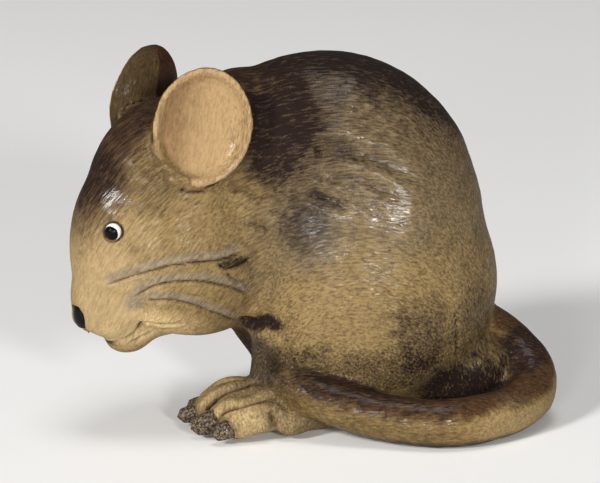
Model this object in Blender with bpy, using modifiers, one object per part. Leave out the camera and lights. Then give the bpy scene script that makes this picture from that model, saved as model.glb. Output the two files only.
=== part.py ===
"""A mouse carved from one block of lime wood, stained and lacquered.

It sits hunched on its haunches with its head turned to its left and bent down, and its tail
curls forward round its left side. Row frame: the mouse faces -X, its left side is -Y, +Z is
up, and it rests on Z = 0 with the middle of its outline over the origin.

The forms are in millimetres, and the meshes are made metres at the end. Each blended body is
parted from its neighbours by thin cuts where a person would name the parts of a mouse.
"""

import math

import bmesh
import bpy
from mathutils import Matrix, Vector

MM = 0.001
GAP = 0.3  # between neighbouring pieces
PARTS, CUTTERS = "wooden_mouse", "cutters"

# Voxel size, rounds of smoothing and triangles kept, for each blended body
CORE_BLEND, CORE_FACETS, HEAD_FACETS = (0.5, 18), 1900, 3300
TAIL_BLEND, TAIL_FACETS = (0.45, 4), 720
FOOT_BLEND, FOOT_FACETS = (0.35, 3), 420
FORELEG_FACETS = 300

# The head's own frame has the nose towards -X; the head is then turned about the neck.
NECK_PIVOT = Vector((-6.0, 0.0, 0.0))
HEAD_YAW = 28.0

# name: (centre, radii); a form off the middle plane has a twin on the other side
TRUNK_FORMS = {
    "back": ((3.5, 0, 31.6), (22.2, 15.5, 22.0)),
    "loin": ((10.2, 0, 28.5), (16.5, 15.9, 18.5)),
    "rump": ((12.0, 0, 20.0), (16.8, 15.8, 18.0)),
    "belly": ((5.0, 0, 16.0), (14.0, 13.0, 15.0)),
    "haunch": ((8.0, 7.5, 20.0), (16.5, 9.2, 17.5)),
    "chest": ((-3.0, 0, 19.0), (7.5, 9.0, 12.0)),
    "shoulder": ((-1.0, 7.0, 28.0), (9.0, 7.5, 14.0)),
    "breast": ((-5.5, 0, 15.5), (5.0, 6.5, 6.0)),
    "seat": ((17.4, 2.0, 7.3), (13.8, 7.1, 7.0)),
}
HEAD_FORMS = {
    "skull": ((-12.1, 0, 35.0), (14.2, 10.6, 13.4)),
    "face": ((-20.9, 0, 27.2), (8.4, 8.0, 13.4)),
    "cheek": ((-11.5, 4.5, 26.3), (13.0, 7.5, 12.4)),
    "snout": ((-23.0, 0, 20.5), (6.6, 5.6, 6.2)),
    "muzzle": ((-25.2, 1.8, 17.2), (3.6, 3.2, 3.2)),
    "jaw": ((-16.5, 0, 17.0), (5.5, 4.5, 3.6)),
    "chin": ((-21.0, 0, 14.4), (4.1, 3.2, 3.0)),
    "throat": ((-7.0, 0, 21.0), (11.0, 9.0, 7.5)),
    "nape": ((-2.0, 0, 37.2), (13.0, 12.5, 14.0)),
}

EAR_CENTRE = (-13.7, 9.9, 45.3)
EAR_WIDTH, EAR_HEIGHT, EAR_DEPTH = 14.4, 17.2, 3.4
EAR_RIM, EAR_WALL = 1.2, 1.3
EAR_FORWARD, EAR_UPWARD = 25.0, 8.0  # how far the hollow faces ahead of sideways, and up
EAR_LEAN = 12.0  # how far the top of the ear leans back
RIGHT_EAR_SHIFT = Vector((0.0, 0.0, 0.6))

EYE_CENTRE, EYE_RADIUS = (-25.6, 5.5, 30.8), 1.3
NOSE_CENTRE, NOSE_RADII = (-28.0, 0, 17.9), (1.4, 2.0, 2.1)

# A limb is a chain of (x, y, z, radius), given for the mouse's left side, which is -Y.
FORELEG = [
    (-2.0, -8.0, 18.0, 3.6),
    (-4.0, -8.3, 13.6, 3.0),
    (-4.6, -7.2, 9.5, 2.5),
    (-5.2, -7.2, 6.6, 2.3),
]
FINGER_START, FINGER_END = (-4.9, -7.0, 6.6, 1.0), (-6.5, -7.0, 5.6, 0.85)
FINGERS, FINGER_SPACING = 3, 1.5
INSTEP = [(5.0, -8.0, 3.2, 3.4), (-1.0, -9.8, 3.4, 3.8), (-5.2, -11.0, 3.8, 3.4)]
TOES = [
    [(-5.4, -7.4, 4.8, 2.0), (-10.2, -5.0, 4.8, 2.0), (-13.2, -4.4, 2.6, 1.8)],
    [(-5.4, -9.2, 4.5, 2.2), (-10.2, -8.8, 4.5, 2.2), (-14.0, -8.6, 2.5, 1.9)],
    [(-5.4, -11.6, 4.0, 2.2), (-8.8, -12.6, 4.0, 2.2), (-11.4, -13.4, 2.7, 2.0)],
    [(-3.4, -13.0, 3.5, 2.4), (-6.4, -15.2, 3.3, 2.4), (-9.0, -16.4, 2.5, 2.2)],
    [(0.5, -12.4, 2.7, 2.2), (-1.4, -14.6, 2.3, 2.0)],
]
CLAW_RADII, CLAW_REACH, CLAW_DROOP = Vector((2.1, 1.2, 1.2)), 1.5, 14.0
CLAW_SIZES = (1.0, 1.1, 1.4, 1.1)  # of the clawed toes, from the inside out
RIGHT_FOOT_BACK = 10.5  # the right hind foot is tucked further under the body

TAIL = [
    (21.0, 2.0, 12.8, 5.4),
    (25.5, 2.0, 12.0, 4.8),
    (30.0, 1.8, 10.0, 3.9),
    (33.3, -1.2, 7.2, 3.7),
    (33.7, -5.0, 4.9, 3.6),
    (32.0, -9.0, 3.8, 3.55),
    (28.0, -14.0, 3.4, 3.55),
    (23.0, -17.4, 3.35, 3.55),
    (17.5, -18.0, 3.35, 3.5),
    (12.0, -16.8, 3.9, 3.45),
    (7.0, -15.6, 4.9, 3.35),
    (3.0, -14.8, 6.1, 3.2),
    (0.5, -13.6, 7.2, 2.9),
    (-1.8, -12.6, 8.0, 2.3),
]
TAIL_ROOT_END, TAIL_TIP_START = -8.0, 9.0  # planes of Y and of X that part the tail

# Outlines in X and Z of the cuts that part the head and the neck from the trunk
HEAD_OUTLINE = [(-50, 60), (-6.5, 60), (-9.5, 12.2), (-24, 8.5), (-50, 8.5)]
NECK_OUTLINE = [(-7.5, 60), (-1.0, 60), (-4.5, 15.0), (-10.4, 13.4)]
NECK_YAW = 14.0
HAUNCH_CUT = ((8.5, 14.5, 16.0), (14.5, 9.5, 15.5))

COAT_OF = {
    "ear": "tan",
    "hind": "tan",
    "tail": "umber",
    "claw": "claw",
    "nose": "black",
    "eye": "white",
}
COATS = {
    "ochre": ("A88F5E", 0.38),
    "tan": ("C7AC7A", 0.38),
    "umber": ("4A3A2A", 0.36),
    "claw": ("3B342C", 0.45),
    "black": ("0E0D0C", 0.3),
    "white": ("E9E6DE", 0.3),
}


def clear_scene():
    for obj in list(bpy.data.objects):
        bpy.data.objects.remove(obj)


def group(name):
    if name not in bpy.data.collections:
        bpy.context.scene.collection.children.link(bpy.data.collections.new(name))
    return bpy.data.collections[name]


def stain(obj, coat):
    colour, roughness = COATS[coat]
    material = bpy.data.materials.new(f"{obj.name}_{coat}")
    material.use_nodes = True
    shader = material.node_tree.nodes["Principled BSDF"]
    shares = [int(colour[i : i + 2], 16) / 255 for i in (0, 2, 4)]
    linear = [s / 12.92 if s <= 0.04045 else ((s + 0.055) / 1.055) ** 2.4 for s in shares]
    shader.inputs["Base Color"].default_value = (*linear, 1.0)
    shader.inputs["Roughness"].default_value = roughness
    shader.inputs["Metallic"].default_value = 0.0
    obj.data.materials.clear()
    obj.data.materials.append(material)


def new_object(name, mesh, where=PARTS):
    data = bpy.data.meshes.new(name)
    mesh.to_mesh(data)
    mesh.free()
    obj = bpy.data.objects.new(name, data)
    group(where).objects.link(obj)
    if where == CUTTERS:
        obj.hide_render = True
        obj.display_type = "WIRE"
    return obj


def copied(obj, name, where=PARTS):
    mesh = bmesh.new()
    mesh.from_mesh(obj.data)
    return new_object(name, mesh, where)


def baked(obj):
    """Replaces the object's mesh by what its modifiers make of it."""
    graph = bpy.context.evaluated_depsgraph_get()
    data = bpy.data.meshes.new_from_object(obj.evaluated_get(graph))
    obj.modifiers.clear()
    obj.data = data
    return obj


def blended(obj, voxel, smoothing):
    """One closed surface over overlapping forms, with the creases between them eased."""
    remesh = obj.modifiers.new("union", "REMESH")
    remesh.mode = "VOXEL"
    remesh.voxel_size = voxel
    smooth = obj.modifiers.new("ease", "SMOOTH")
    smooth.factor = 0.5
    smooth.iterations = smoothing
    return baked(obj)


def thinned(obj, triangles):
    thin = obj.modifiers.new("facets", "DECIMATE")
    thin.ratio = triangles / (2 * len(obj.data.polygons))
    return baked(obj)


def cut(obj, tool, operation="DIFFERENCE"):
    boolean = obj.modifiers.new("cut", "BOOLEAN")
    boolean.operation = operation
    boolean.solver = "EXACT"
    boolean.object = tool
    return baked(obj)


def keep_largest(obj):
    """Drops the crumbs that a cut can leave beside the piece."""
    mesh = bmesh.new()
    mesh.from_mesh(obj.data)
    left, bodies = set(mesh.verts), []
    while left:
        body, edge = set(), [left.pop()]
        while edge:
            vert = edge.pop()
            body.add(vert)
            near = {e.other_vert(vert) for e in vert.link_edges} & left
            left -= near
            edge.extend(near)
        bodies.append(body)
    largest = max(bodies, key=len)
    bmesh.ops.delete(mesh, geom=[v for v in mesh.verts if v not in largest], context="VERTS")
    mesh.to_mesh(obj.data)
    mesh.free()


def mirrored(point, side):
    """A left-hand point (-Y) brought to the given side: -1 left, 1 right."""
    return (point[0], -side * point[1], *point[2:])


def head_turn():
    """The matrix that carries the head's own frame into the row frame."""
    turn = Matrix.Rotation(math.radians(HEAD_YAW), 4, "Z")
    return Matrix.Translation(NECK_PIVOT) @ turn


def add_ball(mesh, frame, centre, radii, segments):
    place = Matrix.Translation(centre) @ Matrix.Diagonal((*radii, 1.0))
    bmesh.ops.create_uvsphere(
        mesh,
        u_segments=segments,
        v_segments=segments // 2,
        radius=1.0,
        matrix=frame @ place,
    )


def ball(name, frame, centre, radii, where=PARTS, segments=12):
    mesh = bmesh.new()
    add_ball(mesh, frame, centre, radii, segments)
    bmesh.ops.recalc_face_normals(mesh, faces=mesh.faces)
    return new_object(name, mesh, where)


def smooth_chain(chain, steps):
    """Points (x, y, z, radius) along a Catmull-Rom curve through the chain's own points."""
    points = [Vector(point) for point in (chain[0], *chain, chain[-1])]
    for a, b, c, d in zip(points, points[1:], points[2:], points[3:]):
        for step in range(steps):
            t = step / steps
            bend = (2 * a - 5 * b + 4 * c - d) * t**2 + (3 * b - a - 3 * c + d) * t**3
            yield (2 * b + (c - a) * t + bend) / 2
    yield points[-1]


def limbs(name, chains, grow=0.0, where=PARTS):
    """Balls along each chain, close enough to blend into smooth limbs."""
    mesh = bmesh.new()
    for chain in chains:
        for x, y, z, radius in smooth_chain(chain, 5):
            size = [radius + grow] * 3
            add_ball(mesh, Matrix.Identity(4), (x, y, z), size, 20)
    return new_object(name, mesh, where)


def limb_and_cutter(name, chains, blend, triangles):
    """A blended limb, and the same limb grown by the gap to cut its neighbours with."""
    limb = thinned(blended(limbs(name, chains), *blend), triangles)
    tool = blended(limbs(name + "_gap", chains, GAP, CUTTERS), *blend)
    return limb, thinned(tool, triangles // 2)


def make_core():
    """The trunk, haunches, neck and head in one blend."""
    mesh = bmesh.new()
    for forms, frame in ((TRUNK_FORMS, Matrix.Identity(4)), (HEAD_FORMS, head_turn())):
        for centre, radii in forms.values():
            for side in (-1, 1) if centre[1] else (1,):
                add_ball(mesh, frame, mirrored(centre, -side), radii, 48)
    return blended(new_object("trunk", mesh), *CORE_BLEND)


def ear_frame(side):
    """The ear's own frame: its back faces +Y, its width lies along X and its height along Z."""
    shift = RIGHT_EAR_SHIFT if side > 0 else Vector()
    place = Matrix.Translation(Vector(mirrored(EAR_CENTRE, -side)) + shift)
    turn = Matrix.Rotation(math.radians(side * EAR_FORWARD), 4, "Z")
    tilt = Matrix.Rotation(math.radians(side * EAR_UPWARD), 4, "X")
    lean = Matrix.Rotation(math.radians(EAR_LEAN), 4, "Y")
    return head_turn() @ place @ turn @ tilt @ lean @ Matrix.Diagonal((1, -side, 1, 1))


def ear_profile():
    """(share of the radius, depth) from the middle of the back, over the lip, to the hollow."""
    inner = 1 - 2 * EAR_RIM / EAR_WIDTH
    back = [math.pi / 2 * step / 5 for step in range(6)]
    lip = [math.pi * step / 4 for step in range(1, 4)]
    return [
        *((math.sin(a), EAR_DEPTH * math.cos(a)) for a in back),
        *(((1 + inner + (1 - inner) * math.cos(a)) / 2, -EAR_RIM / 2 * math.sin(a)) for a in lip),
        *((inner * math.sin(a), (EAR_DEPTH - EAR_WALL) * math.cos(a)) for a in reversed(back)),
    ]


def make_ear(name, side):
    mesh = bmesh.new()
    profile = [mesh.verts.new((share, depth, 0)) for share, depth in ear_profile()]
    edges = [mesh.edges.new(pair) for pair in zip(profile, profile[1:])]
    bmesh.ops.spin(
        mesh,
        geom=profile + edges,
        cent=(0, 0, 0),
        axis=(0, 1, 0),
        angle=2 * math.pi,
        steps=16,
        use_merge=True,
    )
    bmesh.ops.remove_doubles(mesh, verts=mesh.verts, dist=1e-4)
    size = Matrix.Diagonal((EAR_WIDTH / 2, 1, EAR_HEIGHT / 2, 1))
    bmesh.ops.transform(mesh, matrix=ear_frame(side) @ size, verts=mesh.verts)
    bmesh.ops.recalc_face_normals(mesh, faces=mesh.faces)
    return new_object(name, mesh)


def make_hollow(name, side):
    """A cutter of the ear's bowl, where the skull would fill it."""
    lip = EAR_DEPTH - EAR_WALL
    radii = (EAR_WIDTH / 2 - EAR_RIM, lip, EAR_HEIGHT / 2 - EAR_RIM)
    return ball(name, ear_frame(side), (0, 0, 0), radii, CUTTERS, 16)


def block(name, low, high):
    mesh = bmesh.new()
    size = [b - a for a, b in zip(low, high)]
    middle = [(a + b) / 2 for a, b in zip(low, high)]
    place = Matrix.Translation(middle) @ Matrix.Diagonal((*size, 1.0))
    bmesh.ops.create_cube(mesh, size=1.0, matrix=place)
    return new_object(name, mesh, CUTTERS)


def slab(name, outline, half_width=30.0):
    """A cutter of the given outline in X and Z, turned part of the way with the head."""
    mesh = bmesh.new()
    face = mesh.faces.new([mesh.verts.new((x, -half_width, z)) for x, z in outline])
    swept = bmesh.ops.extrude_face_region(mesh, geom=[face])["geom"]
    verts = [item for item in swept if isinstance(item, bmesh.types.BMVert)]
    bmesh.ops.translate(mesh, vec=(0, 2 * half_width, 0), verts=verts)
    bmesh.ops.rotate(
        mesh,
        cent=NECK_PIVOT,
        matrix=Matrix.Rotation(math.radians(NECK_YAW), 3, "Z"),
        verts=mesh.verts,
    )
    bmesh.ops.recalc_face_normals(mesh, faces=mesh.faces)
    return new_object(name, mesh, CUTTERS)


def grown(obj, name):
    """A cutter that reaches a gap further than the object's own faces."""
    mesh = bmesh.new()
    mesh.from_mesh(obj.data)
    bmesh.ops.recalc_face_normals(mesh, faces=mesh.faces)
    for vert in mesh.verts:
        vert.co += vert.normal * GAP * vert.calc_shell_factor()
    return new_object(name, mesh, CUTTERS)


def parted(whole, name, region):
    """The piece of the whole inside the region, with a gap left round it."""
    piece = cut(copied(whole, name), region, "INTERSECT")
    cut(whole, grown(region, region.name + "_gap"))
    return piece


def make_claw(name, toe, size):
    before, tip = Vector(toe[-2][:3]), Vector(toe[-1][:3])
    along = (tip - before).normalized()
    heading = math.atan2(-along.y, -along.x)
    frame = Matrix.Translation(tip + Vector((along.x, along.y, -0.28)) * CLAW_REACH)
    frame @= Matrix.Rotation(heading, 4, "Z") @ Matrix.Rotation(math.radians(-CLAW_DROOP), 4, "Y")
    radii = CLAW_RADII * size
    claw = ball(name, frame, (0, 0, 0), radii, PARTS, 8)
    wide = [radius + GAP for radius in radii]
    return claw, ball(name + "_gap", frame, (0, 0, 0), wide, CUTTERS, 8)


def make_foot(name, side):
    back = RIGHT_FOOT_BACK if side > 0 else 0.0
    toes = [[mirrored((x + back, y, z, r), side) for x, y, z, r in toe] for toe in TOES]
    instep = [mirrored((x + back, y, z, r), side) for x, y, z, r in INSTEP]
    chains = [instep, *toes]
    foot, foot_gap = limb_and_cutter("hind_foot_" + name, chains, FOOT_BLEND, FOOT_FACETS)
    claws = [
        make_claw(f"claw_{name}_{number}", toe, size)
        for number, (toe, size) in enumerate(zip(toes, CLAW_SIZES), 1)
    ]
    for _, claw_gap in claws:
        cut(foot, claw_gap)
    return foot, [foot_gap, *(claw_gap for _, claw_gap in claws)]


def make_foreleg(name, side):
    middle = (FINGERS - 1) / 2
    offsets = [(number - middle) * FINGER_SPACING for number in range(FINGERS)]
    fingers = [
        [(x, y + offset, z, r) for x, y, z, r in (FINGER_START, FINGER_END)] for offset in offsets
    ]
    chains = [[mirrored(point, side) for point in chain] for chain in (FORELEG, *fingers)]
    return thinned(blended(limbs("foreleg_" + name, chains), *FOOT_BLEND), FORELEG_FACETS)


def make_bead(name, centre, radii):
    """An eye or the nose, with the cutter that seats it in the head."""
    ball(name, head_turn(), centre, radii)
    return ball(name + "_gap", head_turn(), centre, [r + GAP for r in radii], CUTTERS)


def part_tail(tail):
    root = block("tail_root_region", (15, TAIL_ROOT_END, -5), (45, 20, 30))
    tip = block("tail_tip_region", (-15, -30, -5), (TAIL_TIP_START, 10, 30))
    parted(tail, "tail_root", root)
    parted(tail, "tail_tip", tip)
    tail.name = "tail_middle"


def part_core(fine_core, core):
    head_region = slab("head_region", HEAD_OUTLINE)
    parted(fine_core, "head", head_region)
    bpy.data.objects.remove(fine_core)
    cut(core, bpy.data.objects["head_region_gap"])
    parted(core, "neck", slab("neck_region", NECK_OUTLINE))
    centre, radii = HAUNCH_CUT
    for side, name in ((-1, "left"), (1, "right")):
        place = mirrored(centre, -side)
        region = ball(f"haunch_{name}_region", Matrix.Identity(4), place, radii, CUTTERS, 20)
        parted(core, "haunch_" + name, region)
    core.name = "trunk"


def finish():
    """Cuts the flats, drops crumbs, and brings every piece to metres over the origin."""
    ground = block("ground", (-60, -60, -20), (60, 60, 0))
    pieces = list(group(PARTS).objects)
    for piece in pieces:
        if min(vert.co.z for vert in piece.data.vertices) < 0:
            cut(piece, ground)
        keep_largest(piece)
    spans = [
        [vert.co[axis] for piece in pieces for vert in piece.data.vertices] for axis in (0, 1)
    ]
    middle = [(min(span) + max(span)) / 2 for span in spans]
    place = Matrix.Scale(MM, 4) @ Matrix.Translation((-middle[0], -middle[1], 0))
    for obj in bpy.data.objects:
        obj.data.transform(place)
        obj.data.shade_smooth()
    print("middle of the outline before centring, mm:", [round(value, 3) for value in middle])


def main():
    clear_scene()
    fine_core = make_core()
    core = thinned(copied(fine_core, "core"), CORE_FACETS)
    thinned(fine_core, HEAD_FACETS)
    core_gap = grown(core, "core_gap")
    tail, tail_gap = limb_and_cutter("tail", [TAIL], TAIL_BLEND, TAIL_FACETS)
    cut(tail, core_gap)
    for side, name in ((-1, "left"), (1, "right")):
        foot, foot_gaps = make_foot(name, side)
        foreleg = make_foreleg(name, side)
        for tool in (core_gap, tail_gap):
            cut(foot, tool)
        for tool in (core_gap, *foot_gaps):
            cut(foreleg, tool)
        cut(make_ear("ear_" + name, side), core_gap)
        cut(fine_core, make_hollow("ear_hollow_" + name, side))
        eye_gap = make_bead("eye_" + name, mirrored(EYE_CENTRE, -side), [EYE_RADIUS] * 3)
        cut(fine_core, eye_gap)
    cut(fine_core, make_bead("nose", NOSE_CENTRE, NOSE_RADII))
    part_tail(tail)
    part_core(fine_core, core)
    finish()
    for piece in group(PARTS).objects:
        stain(piece, COAT_OF.get(piece.name.split("_")[0], "ochre"))


main()
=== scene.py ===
# A mouse carved by hand from one block of lime wood, stained, painted at the eyes and nose, and lacquered.
import math

import bmesh
import bpy
import numpy as np
from mathutils import Matrix, Vector, noise
from mathutils.kdtree import KDTree


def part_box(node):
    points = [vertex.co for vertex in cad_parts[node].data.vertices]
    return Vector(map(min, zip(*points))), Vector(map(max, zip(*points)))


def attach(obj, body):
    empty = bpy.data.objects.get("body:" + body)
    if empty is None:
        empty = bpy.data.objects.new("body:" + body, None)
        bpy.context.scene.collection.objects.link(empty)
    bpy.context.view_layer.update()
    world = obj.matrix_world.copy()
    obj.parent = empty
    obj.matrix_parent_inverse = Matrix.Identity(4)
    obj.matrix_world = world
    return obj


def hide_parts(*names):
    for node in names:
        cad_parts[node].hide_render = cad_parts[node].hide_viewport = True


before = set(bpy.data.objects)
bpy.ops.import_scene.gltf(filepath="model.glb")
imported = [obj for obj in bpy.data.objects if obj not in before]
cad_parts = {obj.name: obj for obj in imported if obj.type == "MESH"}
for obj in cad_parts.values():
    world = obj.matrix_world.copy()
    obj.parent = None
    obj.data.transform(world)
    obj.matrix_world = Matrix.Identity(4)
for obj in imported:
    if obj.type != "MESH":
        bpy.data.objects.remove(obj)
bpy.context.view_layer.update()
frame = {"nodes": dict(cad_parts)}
mm = 0.001


def toLinear(hexText):
    # red, green, blue and a full alpha
    shares = [int(hexText[i : i + 2], 16) / 255 for i in (0, 2, 4)]
    return [*(s / 12.92 if s <= 0.04045 else ((s + 0.055) / 1.055) ** 2.4 for s in shares), 1.0]


def addNode(tree, kind, settings=None, links=None):
    # settings: attributes or input sockets by name; links: input socket -> (node, output socket)
    node = tree.nodes.new(kind)
    for key, value in (settings or {}).items():
        if isinstance(key, str) and hasattr(node, key):
            setattr(node, key, value)
        else:
            node.inputs[key].default_value = value
    for key, (source, output) in (links or {}).items():
        tree.links.new(source.outputs[output], node.inputs[key])
    return node


def newMaterial(name, settings):
    # settings: constants on the shader's own sockets
    material = bpy.data.materials.new(name)
    material.use_nodes = True
    shader = material.node_tree.nodes["Principled BSDF"]
    for socket, value in settings.items():
        shader.inputs[socket].default_value = value
    return material, material.node_tree, shader


def newPiece(name, mesh):
    # mesh is a bmesh in metres, in the row frame
    data = bpy.data.meshes.new(name)
    mesh.to_mesh(data)
    mesh.free()
    piece = bpy.data.objects.new(name, data)
    bpy.context.scene.collection.objects.link(piece)
    data.shade_smooth()
    return piece


def applied(piece):
    # the piece's mesh as its modifiers make it
    graph = bpy.context.evaluated_depsgraph_get()
    data = bpy.data.meshes.new_from_object(piece.evaluated_get(graph))
    piece.modifiers.clear()
    piece.data = data
    return piece


# Frames in mm. The head's has its origin between the eyes, its nose towards -X and its left at -Y.
bodyMiddle = 1.45  # where the body's middle plane lies, along Y
earLook = {
    "centre": (11.9, 9.9, 14.5),  # behind, beside and above the eyes
    "rightShift": (0.0, 0.0, 0.6),  # the right ear was carved a little higher
    "forward": 25.0,  # degrees, as are the next two
    "upward": 8.0,
    "lean": 12.0,
}


def middleOf(node):
    low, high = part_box(node)
    return (low + high) / 2


def makeHeadFrame():
    left, right = middleOf("eye_left"), middleOf("eye_right")
    across = right - left
    turn = Matrix.Rotation(math.atan2(-across.x, across.y), 4, "Z")
    return Matrix.Translation((left + right) / 2 / mm) @ turn


def makeEarFrame(side):
    # X runs across the ear, Z up it, and Y from the hollow to the back
    x, y, z = earLook["centre"]
    place = Vector((x, side * y, z))
    if side > 0:
        place += Vector(earLook["rightShift"])
    turn = Matrix.Rotation(math.radians(side * earLook["forward"]), 4, "Z")
    tilt = Matrix.Rotation(math.radians(side * earLook["upward"]), 4, "X")
    lean = Matrix.Rotation(math.radians(earLook["lean"]), 4, "Y")
    facing = Matrix.Diagonal((1, -side, 1, 1))
    return headFrame @ Matrix.Translation(place) @ turn @ tilt @ lean @ facing


headFrame = makeHeadFrame()
earFrames = {side: makeEarFrame(side) for side in (-1, 1)}  # -1 is the left ear, 1 the right
print("head turned by", round(math.degrees(headFrame.to_euler().z), 1), "degrees")

skinLook = {
    "flesh": ("head", "neck", "trunk", "haunch", "foreleg", "hind", "ear", "tail"),
    "cutAngle": 38.0,  # degrees; sharper edges than this belong to the parting cuts
    "rounding": 2,  # levels of subdivision on each faceted node
    "swell": 0.24,  # mm; closes the cuts before the parts are joined
    "mostSpread": 1.4,  # how far a sharp corner may be pushed, against its faces
    "grid": 0.45,  # mm between points on the plain surface
    "easing": (0.5, 5),  # share and rounds of smoothing after the join
    "longEdge": 0.6,  # of the grid; in a fine zone, edges longer than this are halved
}


def isFlesh(node):
    return node.split("_")[0] in skinLook["flesh"]


def roundedCopy(node, swell):
    # a smooth copy of a faceted node, with its cut faces kept crisp and its sides swollen
    mesh = bmesh.new()
    mesh.from_mesh(node.data)
    bmesh.ops.remove_doubles(mesh, verts=mesh.verts, dist=1e-7)
    crease = mesh.edges.layers.float.new("crease_edge")
    for edge in mesh.edges:
        if edge.calc_face_angle(0.0) > math.radians(skinLook["cutAngle"]):
            edge[crease] = 1.0
    piece = newPiece(node.name + "_copy", mesh)
    rounding = piece.modifiers.new("rounding", "SUBSURF")
    rounding.levels = rounding.render_levels = skinLook["rounding"]
    applied(piece)
    mesh = bmesh.new()
    mesh.from_mesh(piece.data)
    for vert in mesh.verts:
        spread = min(vert.calc_shell_factor(), skinLook["mostSpread"])
        vert.co += vert.normal * swell * mm * spread
    mesh.to_mesh(piece.data)
    mesh.free()
    return piece


def keepLargest(mesh):
    # drops any crumb that isn't part of the body
    left, bodies = set(mesh.verts), []
    while left:
        body, edge = set(), [left.pop()]
        while edge:
            vert = edge.pop()
            body.add(vert)
            near = {e.other_vert(vert) for e in vert.link_edges} & left
            left -= near
            edge.extend(near)
        bodies.append(body)
    largest = max(bodies, key=len)
    bmesh.ops.delete(mesh, geom=[v for v in mesh.verts if v not in largest], context="VERTS")


def joinedSkin():
    # one surface over all the flesh, and a tree that finds which part a place belongs to
    whole, labels = bmesh.new(), []
    for name in filter(isFlesh, sorted(frame["nodes"])):
        copy = roundedCopy(frame["nodes"][name], skinLook["swell"])
        labels += [name.split("_")[0]] * len(copy.data.vertices)
        whole.from_mesh(copy.data)
        bpy.data.objects.remove(copy)
    tree = KDTree(len(labels))
    for index, vert in enumerate(whole.verts):
        tree.insert(vert.co / mm, index)
    tree.balance()
    piece = newPiece("skin", whole)
    joining = piece.modifiers.new("joining", "REMESH")
    joining.mode = "VOXEL"
    joining.voxel_size = skinLook["grid"] * mm
    easing = piece.modifiers.new("easing", "SMOOTH")
    easing.factor, easing.iterations = skinLook["easing"]
    return applied(piece), tree, labels


# zones worked finer than the rest: frame, middle and radius in mm
fineZones = {
    "leftWhiskers": ("head", (7.0, -9.0, -9.5), 12.5),
    "muzzle": ("head", (-1.0, 0.0, -13.0), 7.5),
    "leftEye": ("head", (0.0, -5.9, 0.0), 4.5),
    "leftToes": ("row", (-13.0, -12.0, 3.5), 8.0),
}


def refine(piece):
    mesh = bmesh.new()
    mesh.from_mesh(piece.data)
    keepLargest(mesh)
    longest = skinLook["longEdge"] * skinLook["grid"] * mm
    for where, middle, radius in fineZones.values():
        centre = (headFrame @ Vector(middle) if where == "head" else Vector(middle)) * mm
        edges = [
            edge
            for edge in mesh.edges
            if all((vert.co - centre).length < radius * mm for vert in edge.verts)
            and edge.calc_length() > longest
        ]
        bmesh.ops.subdivide_edges(mesh, edges=edges, cuts=1, use_grid_fill=True, smooth=0.5)
    mesh.to_mesh(piece.data)
    mesh.free()
    piece.data.shade_smooth()


skin, partTree, partLabels = joinedSkin()
print("skin joined:", len(skin.data.vertices), "points")
refine(skin)
print("skin refined:", len(skin.data.vertices), "points")

ironing = {
    "in": 0.5,  # each round moves a point towards its neighbours, and then back out
    "out": -0.52,
    "body": 24,  # rounds
    "seams": 60,
    "seamWidth": 14,  # rounds that spread the seams' mask, and what then strengthens it
    "seamGain": 4,
    "tailTip": 90,
    "socket": 2.6,  # mm round the eyes and nose that stay as they are
}
tailSink = ((-5.4, -12.3, 8.6), (4.2, 4.4, 3.8))  # mm; where the tail sinks into the leg


def smoothStep(values, low, high):
    # rises from 0 at low to 1 at high, or falls where high is the lower
    t = np.clip((values - low) / (high - low), 0, 1)
    return t * t * (3 - 2 * t)


class Surface:
    # the skin's points, in mm, and normals, with what the carving adds to each
    def __init__(self, piece):
        data = piece.data
        self.piece = piece
        self.points = np.empty(len(data.vertices) * 3)
        data.vertices.foreach_get("co", self.points)
        self.points = self.points.reshape(-1, 3) / mm
        ends = np.empty(len(data.edges) * 2, np.int64)
        data.edges.foreach_get("vertices", ends)
        self.ends = ends.reshape(-1, 2)
        self.count = np.bincount(self.ends.ravel(), minlength=len(self.points)).clip(1)
        self.lift = np.zeros(len(self.points))
        self.groove = np.zeros(len(self.points))
        self.wash = np.zeros(len(self.points))
        self.readNormals()

    def readNormals(self):
        normals = np.empty(len(self.points) * 3)
        self.piece.data.vertex_normals.foreach_get("vector", normals)
        self.normals = normals.reshape(-1, 3)

    def average(self, values):
        # of each point's neighbours
        a, b = self.ends.T
        size = len(self.points)
        total = np.bincount(a, values[b], size) + np.bincount(b, values[a], size)
        return total / self.count

    def spread(self, values, rounds, share=0.5):
        values = values.astype(float)
        for _ in range(rounds):
            values = values + share * (self.average(values) - values)
        return values

    def iron(self, mask, rounds):
        # evens the surface out where the mask is 1, without shrinking it
        for _ in range(rounds):
            for share in (ironing["in"], ironing["out"]):
                for axis in range(3):
                    column = self.points[:, axis]
                    column += share * mask * (self.average(column) - column)

    def store(self):
        self.piece.data.vertices.foreach_set("co", (self.points * mm).ravel())
        self.piece.data.update()
        self.readNormals()

    def settle(self):
        # moves the points by what the carving asks for
        self.points += self.normals * self.lift[:, None]
        self.lift[:] = 0
        self.store()


def inverted(matrix, points):
    back = np.array(matrix.inverted())
    return points @ back[:3, :3].T + back[:3, 3]


surface = Surface(skin)
surface.lift -= skinLook["swell"]
surface.settle()
nearestPart = np.array([partLabels[partTree.find(Vector(p))[1]] for p in surface.points])


def region(*names, blur=4):
    return surface.spread(np.isin(nearestPart, names), blur)


def squaresOff(points, centre, radii):
    # the square of how many radii each point is from the centre
    return (((points - np.array(centre)) / np.array(radii)) ** 2).sum(1)


def within(points, centre, radii, edge=0.5):
    # 1 inside an ellipsoid, falling to 0 over the given share of its radius
    return 1 - smoothStep(np.sqrt(squaresOff(points, centre, radii)), 1 - edge, 1 + edge / 2)


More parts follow.
